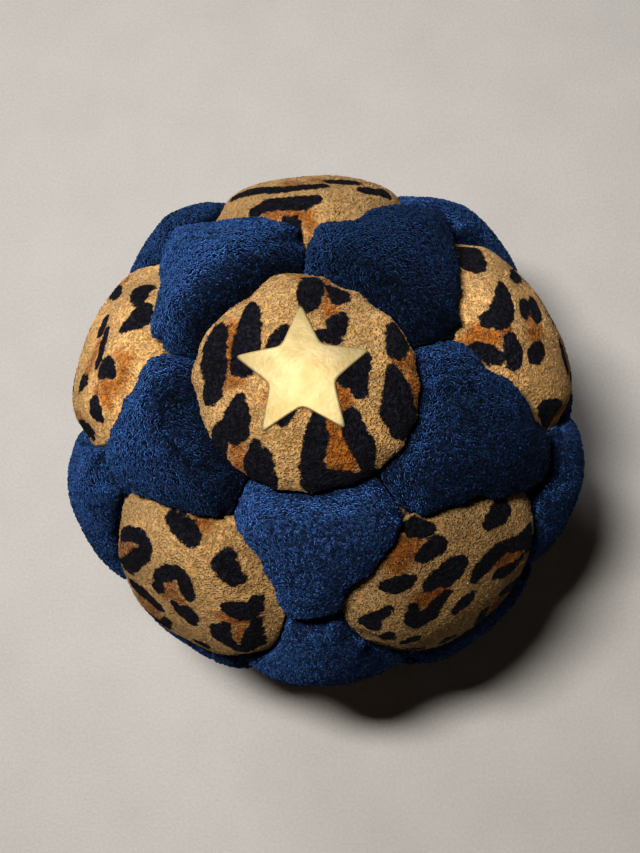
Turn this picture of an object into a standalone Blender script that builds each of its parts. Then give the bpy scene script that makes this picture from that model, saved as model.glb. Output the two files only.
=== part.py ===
"""A hand-sewn footbag: 12 leopard-print and 20 navy panels of synthetic suede, sewn edge to edge round a loose filling.

The leopard panels lie at the corners of an icosahedron and the navy ones at the middles of its faces. One leopard
panel faces straight up and carries the foil star, and the one opposite rests on the ground. The origin is on the
ground under the middle of the ball, with +Z up.
"""

import math

import bmesh
import bpy
from mathutils import Matrix, Vector

# The ball, in metres. Lengths along the surface are measured at the radius of the seams.
BALL_DIAMETER = 0.055
LEOPARD_DROP = 0.0005
SEAM_DEPTH = 0.0033
SHORT_SEAM = 0.0048
LONG_SEAM_BOW = 0.0013
RESTING_FLAT_DEPTH = 0.0005

# The sheet that the panels are cut from, and its edge turned in at the seams
SUEDE_THICKNESS = 0.0009
SEAM_ALLOWANCE = 0.0025

# The flat waxed sewing thread
THREAD_WIDTH = 0.0008
THREAD_THICKNESS = 0.0005

# The foil star, measured from its middle
STAR_TIP_RADIUS = 0.0064
STAR_NOTCH_RADIUS = 0.0029
FOIL_THICKNESS = 0.0002

# The gap between pieces that touch, and the wider one round the loose filling
GAP = 0.0003
FILLING_GAP = 0.0004

# Where the rings of a panel lie, from its middle to its edge. The higher the flatness, the flatter the crown.
LEOPARD_RING_SHARES = (0.42, 0.72, 0.9, 0.975)
NAVY_RING_SHARES = (0.4, 0.68, 0.87, 0.965)
UNDERSIDE_RING_SHARES = (0.42, 0.75)
FILLING_RING_SHARE = 0.6
LEOPARD_FLATNESS = 4.2
NAVY_FLATNESS = 2.8

# Straight steps that a long seam is drawn in, on the panels and on what lies under them
PANEL_STEPS = 4
INSIDE_STEPS = 2

NAVY_RADIUS = BALL_DIAMETER / 2
LEOPARD_RADIUS = NAVY_RADIUS - LEOPARD_DROP
SEAM_RADIUS = NAVY_RADIUS - SEAM_DEPTH
FOLD_END_RADIUS = SEAM_RADIUS - SEAM_ALLOWANCE
THREAD_TOP_RADIUS = FOLD_END_RADIUS - GAP
THREAD_FOOT_RADIUS = THREAD_TOP_RADIUS - THREAD_THICKNESS
FILLING_RADIUS = THREAD_FOOT_RADIUS - FILLING_GAP
BALL_CENTRE_HEIGHT = LEOPARD_RADIUS - RESTING_FLAT_DEPTH

# Angles seen from the middle of the ball: between neighbouring leopard panels, and from one's middle to its corner
NEIGHBOUR_ANGLE = math.atan(2)
CORNER_ANGLE = (NEIGHBOUR_ANGLE - SHORT_SEAM / SEAM_RADIUS) / 2
FIFTH_TURN = math.tau / 5

UP = Vector((0, 0, 1))


def clear_scene():
    for old in list(bpy.data.objects):
        bpy.data.objects.remove(old, do_unlink=True)


def material(name, colour, roughness, metallic=0.0):
    made = bpy.data.materials.new(name)
    made.use_nodes = True
    shader = made.node_tree.nodes["Principled BSDF"]
    shader.inputs["Base Color"].default_value = (*colour, 1.0)
    shader.inputs["Roughness"].default_value = roughness
    shader.inputs["Metallic"].default_value = metallic
    return made


# Where the panels lie


def leopard_centres():
    """Directions of the leopard panels by name: the top one, two rows of five and the bottom one."""
    named = {"top": UP}
    for row, height, turn in (("upper", 1, 0), ("lower", -1, 0.5)):
        for k in range(5):
            azimuth = math.tau / 4 - (k + turn) * FIFTH_TURN
            level = Vector((math.cos(azimuth), math.sin(azimuth), 0))
            named[f"{row}_{k + 1}"] = (2 * level + height * UP).normalized()
    named["bottom"] = -UP
    return named


def navy_corners(leopards):
    """The navy panels by name, each with the directions of its three leopard panels, counterclockwise from outside."""
    named = {}
    for k in range(5):
        this, after = k + 1, (k + 1) % 5 + 1
        trios = {
            f"top_{this}": ("top", f"upper_{after}", f"upper_{this}"),
            f"upper_{this}": (f"lower_{this}", f"upper_{this}", f"upper_{after}"),
            f"lower_{this}": (f"upper_{after}", f"lower_{after}", f"lower_{this}"),
            f"bottom_{this}": ("bottom", f"lower_{this}", f"lower_{after}"),
        }
        for name, trio in trios.items():
            named[name] = [leopards[one] for one in trio]
    return named


def frame_at(centre, towards):
    """The rotation that takes +Z to centre, and +X to the side where towards lies."""
    side = (towards - towards.dot(centre) * centre).normalized()
    return Matrix((side, centre.cross(side), centre)).transposed()


def neighbours(centre, leopards):
    """The five leopard panels next to the one at centre, counterclockwise from outside."""
    near = [one for one in leopards.values() if abs(one.angle(centre) - NEIGHBOUR_ANGLE) < NEIGHBOUR_ANGLE / 9]
    inverse = frame_at(centre, near[0]).inverted()
    return sorted(near, key=lambda one: math.atan2((inverse @ one).y, (inverse @ one).x))


# The seam lines, as directions from the middle of the ball


def long_seam(leopard, start, end, steps):
    """From a leopard panel's corner towards start to the one towards end, bowed away from the panel's middle."""
    frame = frame_at(leopard, start)
    turn = math.copysign(1, (frame.inverted() @ end).y)
    middle = math.atan(math.tan(CORNER_ANGLE) * math.cos(FIFTH_TURN / 2))
    bow = LONG_SEAM_BOW / SEAM_RADIUS / (CORNER_ANGLE - middle)
    points = []
    for step in range(steps + 1):
        azimuth = FIFTH_TURN * step / steps
        straight = math.atan(math.tan(middle) / math.cos(azimuth - FIFTH_TURN / 2))
        polar = straight + bow * (CORNER_ANGLE - straight)
        level = Vector((math.cos(azimuth), turn * math.sin(azimuth), 0))
        points.append(frame @ (math.sin(polar) * level + math.cos(polar) * UP))
    return points


def leopard_outline(centre, others, steps):
    outline = []
    for k, start in enumerate(others):
        outline += long_seam(centre, start, others[(k + 1) % 5], steps)[:-1]
    return outline


def navy_outline(corners, steps):
    """Three long seams, each along one leopard panel, and between them three short straight ones."""
    outline = []
    for k, leopard in enumerate(corners):
        after, before = corners[(k + 1) % 3], corners[k - 1]
        outline += long_seam(leopard, before, after, steps)
    return outline


def inset(outline, distance, radius):
    """The outline drawn in by that distance at that radius, with mitred corners."""
    drawn_in = []
    for k, point in enumerate(outline):
        before, after = outline[k - 1], outline[(k + 1) % len(outline)]
        from_before = point.cross(point - before).normalized()
        to_after = point.cross(after - point).normalized()
        mitre = (from_before + to_after) / (1 + from_before.dot(to_after))
        drawn_in.append((point + mitre * distance / radius).normalized())
    return drawn_in


def mean_width(centre, outline):
    """The mean way along the surface from a panel's middle to its seam."""
    return SEAM_RADIUS * sum(centre.angle(point) for point in outline) / len(outline)


# Rings of vertices, and the faces between them


def ring(mesh, directions, radius):
    return [mesh.verts.new(direction * radius) for direction in directions]


def ring_at_share(mesh, centre, outline, share, radius):
    return ring(mesh, [centre.slerp(point, share) for point in outline], radius)


def join_rings(mesh, rings):
    for first, second in zip(rings, rings[1:]):
        for k in range(len(first)):
            after = (k + 1) % len(first)
            mesh.faces.new((first[k], first[after], second[after], second[k]))


def close_ring(mesh, last, point):
    tip = mesh.verts.new(point)
    for k in range(len(last)):
        mesh.faces.new((last[k], last[(k + 1) % len(last)], tip))
    return tip


def settle(vertices, height):
    """Lifts what would lie lower than that height over the ground."""
    for vertex in vertices:
        vertex.co.z = max(vertex.co.z, height - BALL_CENTRE_HEIGHT)


def finished_data(name, mesh, finish):
    bmesh.ops.recalc_face_normals(mesh, faces=mesh.faces)
    data = bpy.data.meshes.new(name)
    mesh.to_mesh(data)
    mesh.free()
    data.shade_smooth()
    data.set_sharp_from_angle(angle=math.tau / 9)
    data.materials.append(finish)
    return data


def place(name, data, ball, rotation=None):
    made = bpy.data.objects.new(name, data)
    bpy.context.scene.collection.objects.link(made)
    made.parent = ball
    if rotation:
        made.rotation_mode = "QUATERNION"
        made.rotation_quaternion = rotation.to_quaternion()
    return made


# The panels


def crown_radius(share, top_radius, flatness):
    """Radius of a panel's outer face: full in the middle, and rolled down into the seam at the edge."""
    return SEAM_RADIUS + (top_radius - SEAM_RADIUS) * math.sqrt(1 - share**flatness)


def panel_data(name, centre, outline, top_radius, flatness, ring_shares, finish, resting=False):
    """The crown, the edge turned in at the seams, and the underside of the sheet, as one closed shell."""
    mesh = bmesh.new()
    outer_edge = inset(outline, GAP / 2, FOLD_END_RADIUS)
    inner_edge = inset(outline, GAP / 2 + SUEDE_THICKNESS, FOLD_END_RADIUS)
    crown = [
        ring_at_share(mesh, centre, outer_edge, share, crown_radius(share, top_radius, flatness))
        for share in (*ring_shares, 1)
    ]
    fold = [ring(mesh, edge, FOLD_END_RADIUS) for edge in (outer_edge, inner_edge)]
    inner_edge_share = 1 - SUEDE_THICKNESS / mean_width(centre, outline)
    underside = []
    for share in (1, *reversed(UNDERSIDE_RING_SHARES)):
        radius = crown_radius(share * inner_edge_share, top_radius, flatness) - SUEDE_THICKNESS
        underside.append(ring_at_share(mesh, centre, inner_edge, share, radius))
    join_rings(mesh, crown + fold + underside)
    crown.append([close_ring(mesh, crown[0], centre * top_radius)])
    underside.append([close_ring(mesh, underside[-1], centre * (top_radius - SUEDE_THICKNESS))])
    if resting:
        settle(sum(crown, []), 0)
        settle(sum(underside, []), SUEDE_THICKNESS)
    return finished_data(name, mesh, finish)


def add_leopard_panels(leopards, ball, finish):
    """Eleven like panels, and the bottom one, which the ball's weight presses flat against the ground."""
    shape = (LEOPARD_RADIUS, LEOPARD_FLATNESS, LEOPARD_RING_SHARES, finish)
    shared = None
    for name, centre in leopards.items():
        around = neighbours(centre, leopards)
        if name == "bottom":
            outline = leopard_outline(centre, around, PANEL_STEPS)
            data = panel_data("leopard_panel_resting", centre, outline, *shape, resting=True)
            place("leopard_panel_bottom", data, ball)
            continue
        frame = frame_at(centre, around[0])
        if shared is None:
            local = [frame.inverted() @ one for one in around]
            shared = panel_data("leopard_panel", UP, leopard_outline(UP, local, PANEL_STEPS), *shape)
        place(f"leopard_panel_{name}", shared, ball, frame)


def add_navy_panels(navy, ball, finish):
    """Twenty like panels, fuller than the leopard ones."""
    shared = None
    for name, corners in navy.items():
        frame = frame_at(sum(corners, Vector()).normalized(), corners[0])
        if shared is None:
            local = [frame.inverted() @ one for one in corners]
            outline = navy_outline(local, PANEL_STEPS)
            shared = panel_data(
                "navy_panel", UP, outline, NAVY_RADIUS, NAVY_FLATNESS, NAVY_RING_SHARES, finish
            )
        place(f"navy_panel_{name}", shared, ball, frame)


# What lies inside. The outlines of all panels meet along the seams, so their shared points are merged.


def all_outlines(leopards, navy):
    """Each panel's middle, seam line, crown radius and flatness, for the pieces inside."""
    found = []
    for centre in leopards.values():
        outline = leopard_outline(centre, neighbours(centre, leopards), INSIDE_STEPS)
        found.append((centre, outline, LEOPARD_RADIUS, LEOPARD_FLATNESS))
    for corners in navy.values():
        centre = sum(corners, Vector()).normalized()
        found.append((centre, navy_outline(corners, INSIDE_STEPS), NAVY_RADIUS, NAVY_FLATNESS))
    return found


def add_thread(outlines, ball, finish):
    """One thread that runs along every seam, just under the turned-in edges."""
    mesh = bmesh.new()
    for _, outline, _, _ in outlines:
        sides = {
            radius: (ring(mesh, outline, radius), ring(mesh, inset(outline, THREAD_WIDTH / 2, radius), radius))
            for radius in (THREAD_TOP_RADIUS, THREAD_FOOT_RADIUS)
        }
        (top_middle, top_side), (foot_middle, foot_side) = sides.values()
        join_rings(mesh, [top_middle, top_side, foot_side, foot_middle])
    bmesh.ops.remove_doubles(mesh, verts=mesh.verts, dist=GAP / 10)
    place("seam_thread", finished_data("seam_thread", mesh, finish), ball)


def add_filling(outlines, ball, finish):
    """The loose granules as one solid. It bulges up into every panel and passes under the thread between them."""
    mesh = bmesh.new()
    for centre, outline, top_radius, flatness in outlines:
        sheet_and_gap = SUEDE_THICKNESS + FILLING_GAP
        edge = inset(outline, GAP / 2 + sheet_and_gap, FILLING_RADIUS)
        edge_share = 1 - sheet_and_gap / mean_width(centre, outline)
        rings = [ring(mesh, outline, FILLING_RADIUS), ring(mesh, edge, FILLING_RADIUS)]
        for share in (1, FILLING_RING_SHARE):
            radius = crown_radius(share * edge_share, top_radius, flatness) - sheet_and_gap
            rings.append(ring_at_share(mesh, centre, edge, share, radius))
        join_rings(mesh, rings)
        close_ring(mesh, rings[-1], centre * (top_radius - sheet_and_gap))
    bmesh.ops.remove_doubles(mesh, verts=mesh.verts, dist=GAP / 10)
    settle(mesh.verts, SUEDE_THICKNESS + FILLING_GAP)
    place("filling", finished_data("filling", mesh, finish), ball)


# The foil star on the top panel


def star_directions():
    """Tips, notches and the points halfway between them, one tip towards +Y."""
    corners = []
    for k in range(10):
        distance = STAR_NOTCH_RADIUS if k % 2 else STAR_TIP_RADIUS
        azimuth = math.tau / 4 + k * FIFTH_TURN / 2
        corners.append(Vector((math.cos(azimuth), math.sin(azimuth), 0)) * distance / LEOPARD_RADIUS)
    outline = []
    for k, corner in enumerate(corners):
        outline += [corner, (corner + corners[(k + 1) % 10]) / 2]
    return [(point + UP).normalized() for point in outline]


def add_star(ball, finish):
    """A thin foil that follows the crown of the panel it is pressed on."""
    mesh = bmesh.new()
    directions = star_directions()
    layers = []
    for lift in (GAP, GAP + FOIL_THICKNESS):
        layer = []
        for direction in directions:
            share = direction.angle(UP) / CORNER_ANGLE
            radius = crown_radius(share, LEOPARD_RADIUS, LEOPARD_FLATNESS) + lift
            layer.append(mesh.verts.new(direction * radius))
        close_ring(mesh, layer, UP * (LEOPARD_RADIUS + lift))
        layers.append(layer)
    join_rings(mesh, layers)
    place("foil_star", finished_data("foil_star", mesh, finish), ball)


def build():
    clear_scene()
    ball = bpy.data.objects.new("footbag", None)
    ball.location = (0, 0, BALL_CENTRE_HEIGHT)
    bpy.context.scene.collection.objects.link(ball)

    leopards = leopard_centres()
    navy = navy_corners(leopards)
    add_leopard_panels(leopards, ball, material("leopard_suede", (0.42, 0.25, 0.11), 0.9))
    add_navy_panels(navy, ball, material("navy_suede", (0.012, 0.035, 0.10), 0.95))

    outlines = all_outlines(leopards, navy)
    add_thread(outlines, ball, material("sewing_thread", (0.01, 0.015, 0.04), 0.6))
    add_filling(outlines, ball, material("granule_filling", (0.55, 0.53, 0.48), 0.7))
    add_star(ball, material("gold_foil", (0.80, 0.60, 0.27), 0.35, 1.0))
    bpy.context.view_layer.update()


build()
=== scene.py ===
"""A hand-sewn footbag of leopard-print and navy synthetic suede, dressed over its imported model."""

import math

import bpy
import numpy as np
from mathutils import Matrix, Vector
from mathutils.bvhtree import BVHTree


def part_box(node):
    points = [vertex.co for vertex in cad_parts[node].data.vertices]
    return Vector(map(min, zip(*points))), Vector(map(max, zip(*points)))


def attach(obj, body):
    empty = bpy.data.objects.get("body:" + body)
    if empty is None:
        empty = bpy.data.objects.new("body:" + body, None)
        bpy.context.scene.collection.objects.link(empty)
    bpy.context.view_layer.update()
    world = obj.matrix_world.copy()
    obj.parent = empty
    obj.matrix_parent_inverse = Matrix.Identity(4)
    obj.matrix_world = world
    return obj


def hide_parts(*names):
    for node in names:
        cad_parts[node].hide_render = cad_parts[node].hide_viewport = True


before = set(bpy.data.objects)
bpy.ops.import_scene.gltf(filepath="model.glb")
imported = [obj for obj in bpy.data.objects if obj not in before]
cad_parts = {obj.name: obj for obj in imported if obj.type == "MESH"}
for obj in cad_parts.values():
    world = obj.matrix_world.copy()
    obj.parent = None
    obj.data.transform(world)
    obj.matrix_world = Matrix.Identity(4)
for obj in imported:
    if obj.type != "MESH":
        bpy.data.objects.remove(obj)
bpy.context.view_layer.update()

# The leopard panels: 12 rounded pentagons of printed synthetic suede, about 0.9 mm thick. They are sewn inside out to
# the navy panels, edge to edge, so that the ball closes as a truncated icosahedron, and the filling pushes them out
# from within. Lengths are in millimetres, from the middle of the ball.

MM = 0.001
BALL_MIDDLE = np.array(sum(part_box("seam_thread"), Vector())) / 2
SEAM_RADIUS = 24.2
SHORT_SEAM = 4.8
SEAM_BOW = 1.3
TIP_BOW = 1.1
LONG_SEAM_POINTS = 100
SHORT_SEAM_POINTS = 34
FIFTH = math.tau / 5
NEIGHBOUR_ANGLE = math.atan(2)
CORNER_ANGLE = (NEIGHBOUR_ANGLE - SHORT_SEAM / SEAM_RADIUS) / 2
CORNER_SHARE = CORNER_ANGLE / NEIGHBOUR_ANGLE
SIDE_ANGLE = math.atan(math.tan(CORNER_ANGLE) * math.cos(FIFTH / 2))


def unit(vectors):
    return vectors / np.linalg.norm(vectors, axis=-1, keepdims=True)


def angle(cosines):
    return np.arccos(np.clip(cosines, -1, 1))


def leopard_directions():
    """The middle of each leopard panel: the 12 corners of an icosahedron that stands on one of them."""
    named = {"top": np.array([0.0, 0.0, 1.0])}
    for row, height, turn in (("upper", 1, 0), ("lower", -1, 0.5)):
        for k in range(5):
            azimuth = math.tau / 4 - (k + turn) * FIFTH
            named[f"{row}_{k + 1}"] = unit(np.array([2 * math.cos(azimuth), 2 * math.sin(azimuth), height]))
    named["bottom"] = -named["top"]
    return named


def navy_trios():
    """Each navy panel's three leopard neighbours, counterclockwise as seen from outside."""
    trios = {}
    for k in range(5):
        this, after = k + 1, (k + 1) % 5 + 1
        trios[f"top_{this}"] = ("top", f"upper_{after}", f"upper_{this}")
        trios[f"upper_{this}"] = (f"lower_{this}", f"upper_{this}", f"upper_{after}")
        trios[f"lower_{this}"] = (f"upper_{after}", f"lower_{after}", f"lower_{this}")
        trios[f"bottom_{this}"] = ("bottom", f"lower_{this}", f"lower_{after}")
    return trios


LEOPARDS = leopard_directions()
NAVIES = navy_trios()
MIDDLES = {f"leopard_{name}": middle for name, middle in LEOPARDS.items()}
MIDDLES |= {f"navy_{name}": unit(sum(LEOPARDS[one] for one in trio)) for name, trio in NAVIES.items()}


def between(start, end, shares):
    """Points on the great circle from start to end, at those shares of the way."""
    apart = angle((start * end).sum(-1, keepdims=True))
    return unit(np.sin((1 - shares) * apart) * start + np.sin(shares * apart) * end)


def long_seam(leopard, start, end):
    """The seam round a leopard panel from its corner towards start to the one towards end, bowed outwards."""
    side = unit(start - start @ leopard * leopard)
    up = np.cross(leopard, side)
    up *= math.copysign(1, end @ up)
    bow = SEAM_BOW / SEAM_RADIUS / (CORNER_ANGLE - SIDE_ANGLE)
    azimuth = np.linspace(0, FIFTH, LONG_SEAM_POINTS)[:, None]
    straight = np.arctan(math.tan(SIDE_ANGLE) / np.cos(azimuth - FIFTH / 2))
    polar = straight + bow * (CORNER_ANGLE - straight)
    level = np.cos(azimuth) * side + np.sin(azimuth) * up
    return np.sin(polar) * level + np.cos(polar) * leopard


def short_seam(pair, panels):
    """The seam between two navy panels. Where one lies nearer a pole, its tip is round and laps over the other."""
    start, end = (LEOPARDS[one] for one in sorted(pair))
    shares = np.linspace(CORNER_SHARE, 1 - CORNER_SHARE, SHORT_SEAM_POINTS)[:, None]
    points = between(start, end, shares)
    poleward = [panel for panel in panels if panel.startswith(("navy_top", "navy_bottom"))]
    if len(poleward) == 1:
        pole = np.array([0.0, 0.0, 1.0 if "top" in poleward[0] else -1.0])
        away = unit(points * (points @ pole)[:, None] - pole)
        tip = np.sin(np.linspace(0, math.pi, SHORT_SEAM_POINTS))[:, None]
        points = unit(points + away * tip * TIP_BOW / SEAM_RADIUS)
    return points[1:-1]


# Where the hand sewing has drawn a seam off its even place, in millimetres along X, Y and Z. The place is a leopard
# panel's corner towards another leopard panel, or the middle of its seam with a navy panel.
DRAWN_PLACES = (
    ("upper_3", "leopard_upper_2", (0.9, -0.8, -1.8)),
    ("upper_2", "leopard_upper_3", (0.9, 1.7, -0.8)),
    ("upper_1", "leopard_upper_2", (0.2, 0.5, -1.0)),
    ("upper_2", "leopard_upper_1", (-0.2, 1.5, -1.7)),
    ("upper_5", "leopard_upper_1", (-0.5, 1.0, -1.9)),
    ("upper_3", "leopard_upper_4", (-0.4, 0.6, 1.1)),
    ("upper_4", "leopard_upper_3", (-0.2, 0.5, 0.9)),
    ("upper_4", "leopard_upper_5", (0.8, 0.4, 1.5)),
    ("upper_4", "leopard_top", (1.4, 0.4, 0.3)),
    ("upper_5", "leopard_upper_4", (0.5, 0.7, 1.1)),
    ("top", "navy_top_1", (-0.9, -0.8, 0.0)),
    ("top", "navy_top_5", (0.4, -1.0, 0.0)),
    ("top", "navy_top_3", (0.0, 0.5, 0.0)),
    ("top", "leopard_upper_2", (-0.4, 0.0, 0.0)),
)
DRAWN_REACH = 4.5


def even_place(leopard, towards):
    """Where a leopard panel's corner, or the middle of one of its seams, would lie if it were sewn evenly."""
    start, end = LEOPARDS[leopard], MIDDLES[towards]
    return between(start, end, CORNER_SHARE if towards.startswith("leopard") else SIDE_ANGLE / math.acos(start @ end))


def draw(points):
    """Moves seam points along with the drawn places near them."""
    moved = points * SEAM_RADIUS
    for leopard, towards, way in DRAWN_PLACES:
        far = np.linalg.norm(points - even_place(leopard, towards), axis=1, keepdims=True) * SEAM_RADIUS / DRAWN_REACH
        moved = moved + np.array(way) * np.exp(-far**2 / 2)
    return unit(moved)


def sew_pattern():
    """All 90 seams: the two panels that each joins, its points as directions, and whether it is a long one."""
    seams = []
    shorts = {}
    for navy, trio in NAVIES.items():
        for k, leopard in enumerate(trio):
            before, after = trio[k - 1], trio[(k + 1) % 3]
            line = long_seam(LEOPARDS[leopard], LEOPARDS[before], LEOPARDS[after])
            seams.append((f"leopard_{leopard}", f"navy_{navy}", draw(line), True))
            shorts.setdefault(frozenset((leopard, after)), []).append(f"navy_{navy}")
    for pair, panels in shorts.items():
        seams.append((*panels, draw(short_seam(pair, panels)), False))
    return seams


def seam_length(points):
    return SEAM_RADIUS * math.acos(points[0] @ points[-1])


SEAMS = sew_pattern()
STITCH_PITCH = 2.8
STITCH_DRIFT = 0.25
LOOSEST, TIGHTEST = 0.1, 1.2


def place_stitches():
    """Each stitch's panels, its place and its pull. Hand stitches are never quite even."""
    drawn = np.random.RandomState(5)
    stitches = []
    for first, second, points, _ in SEAMS:
        count = max(2, round(seam_length(points) / STITCH_PITCH))
        for k in range(count):
            share = (k + 0.5 + drawn.uniform(-STITCH_DRIFT, STITCH_DRIFT)) / count
            place = points[int(share * (len(points) - 1))]
            stitches.append((first, second, place, drawn.uniform(LOOSEST, TIGHTEST)))
        stitches += [(first, second, points[0], TIGHTEST), (first, second, points[-1], TIGHTEST)]
    return stitches


STITCHES = place_stitches()
LOOP_POINTS = 720


def soften(loop, passes):
    """Rounds a closed loop's corners by drawing each point towards its neighbours, that many times."""
    for _ in range(passes):
        loop = (np.roll(loop, 1, 0) + 2 * loop + np.roll(loop, -1, 0)) / 4
    return loop


def outline_of(panel, rounding):
    """The panel's seam line as one closed loop of evenly spaced points, with corners rounded over that distance."""
    centre = MIDDLES[panel]
    points = np.concatenate([points for first, second, points, _ in SEAMS if panel in (first, second)])
    side = unit(np.cross(centre, [0.3, 0.5, 0.8]))
    azimuth = np.arctan2(points @ np.cross(centre, side), points @ side)
    points = points[np.argsort(azimuth)]
    loop = np.concatenate([points, points[:1]])
    run = np.concatenate([[0], np.cumsum(np.linalg.norm(np.diff(loop, axis=0), axis=1))])
    even = np.linspace(0, run[-1], LOOP_POINTS + 1)[:-1]
    points = np.stack([np.interp(even, run, loop[:, axis]) for axis in range(3)], -1)
    step = run[-1] / LOOP_POINTS * SEAM_RADIUS
    return unit(soften(points, round(2 * (rounding / step) ** 2)))


def along(loop, shares):
    """Points at those shares of a closed, evenly spaced loop."""
    place = shares % 1 * len(loop)
    low = place.astype(int) % len(loop)
    part = (place % 1)[:, None]
    return unit(loop[low] * (1 - part) + loop[(low + 1) % len(loop)] * part)


def distance_to(line, directions):
    """Millimetres over the ball from each direction to the nearest point of a seam line."""
    return angle((directions @ line[::3].T).max(1)) * SEAM_RADIUS


SEAM_MEETING = 1.6
NO_SEAM = 9.0


def long_seam_share(panel, directions):
    """1 beside a long seam and 0 beside a short one, and in between where they meet."""
    far = []
    for kind in (True, False):
        lines = [points for first, second, points, is_long in SEAMS if panel in (first, second) and is_long == kind]
        far.append(distance_to(np.concatenate(lines), directions) if lines else np.full(len(directions), NO_SEAM))
    return np.clip(0.5 + (far[1] - far[0]) / SEAM_MEETING, 0, 1)


def roll(distance, width, power):
    """From 0 at the seam to 1 at that distance from it, steep at first like the side of a pillow."""
    return np.sqrt(1 - np.clip(1 - distance / width, 0, 1) ** power)


def lumps(directions, size, seed):
    """Smooth unevenness between about -1 and 1, with bumps of about that size, from a few crossing waves."""
    drawn = np.random.RandomState(seed)
    total = np.zeros(len(directions))
    for _ in range(14):
        wave = unit(drawn.normal(size=3)) * math.pi * SEAM_RADIUS / size * drawn.uniform(0.7, 1.4)
        total += np.sin(directions @ wave + drawn.uniform(0, math.tau))
    return total / 4


GRID = 0.2


def panel_rings(loop, centre, height, width, power):
    """Rings of directions from the middle to the seam, as far apart on the rolled surface as along each ring."""
    mean = SEAM_RADIUS * angle(loop @ centre).mean()
    shares = np.linspace(0, 1, 4000)
    rise = height * roll((1 - shares) * mean, width, power)
    run = np.concatenate([[0], np.cumsum(np.hypot(np.diff(shares) * mean, np.diff(rise)))])
    count = int(run[-1] / GRID)
    rings = []
    for k in range(1, count + 1):
        edge = along(loop, np.arange(6 * k) / (6 * k))
        rings.append((between(centre, edge, np.interp(run[-1] * k / count, run, shares)), edge))
    return rings


def ring_faces(count):
    """Triangles between rings of 6, 12, 18 and so on points round a middle point, counterclockwise."""
    faces = [np.stack([np.zeros(6, int), 1 + np.arange(6), 1 + (np.arange(6) + 1) % 6], -1)]
    start = 1
    for k in range(1, count):
        inner, outer = 6 * k, 6 * (k + 1)
        sector, step = np.divmod(np.arange(inner), k)
        low = sector * (k + 1) + step
        first = start + np.arange(inner)
        following = start + (np.arange(inner) + 1) % inner
        out = start + inner + low % outer
        out_next = start + inner + (low + 1) % outer
        faces.append(np.stack([first, out, out_next], -1))
        faces.append(np.stack([first, out_next, following], -1))
        corner = np.arange(6)
        last = start + (corner * k) % inner
        before = start + inner + (corner * (k + 1) - 1) % outer
        faces.append(np.stack([last, before, start + inner + (corner * (k + 1)) % outer], -1))
        start += inner
    return np.concatenate(faces)


SHEET = 0.9
FOLD_DEPTH = 2.5
SEAM_GAP = 0.3
SEAM_ROUNDING = 0.45
PUFF_ROUNDING = 1.3
STITCH_REACH = 1.1
STITCH_PULL = 1.0
SWELL, SWELL_SIZE = 0.22, 9
DIMPLE, DIMPLE_SIZE = 0.07, 3
SCALLOP, SCALLOP_SIZE = 0.8, 4
LEAN_REACH = 0.8
HALF_PANEL = 10.0
BARE_EDGE = 0.5
TOP_LIP_REACH = 2.5
TOP_LIP_DEPTH = 1.2
TABLE_SOFTNESS = 0.3
TOP_SEAM = outline_of("leopard_top", SEAM_ROUNDING)


def under_top_lip(panel, directions):
    """The top leopard panel's lip lies over its navy neighbours: 1 beside its seam, and 0 some millimetres away."""
    if not panel.startswith("navy_top"):
        return np.zeros(len(directions))
    return np.exp(-((distance_to(TOP_SEAM, directions) / TOP_LIP_REACH) ** 2))


def settle(points):
    """Presses what would reach below the table flat against it."""
    height = points[:, 2] + BALL_MIDDLE[2] / MM
    pressed = (height + np.sqrt(height**2 + TABLE_SOFTNESS**2)) / 2
    points[:, 2] += pressed - height
    return points


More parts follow.
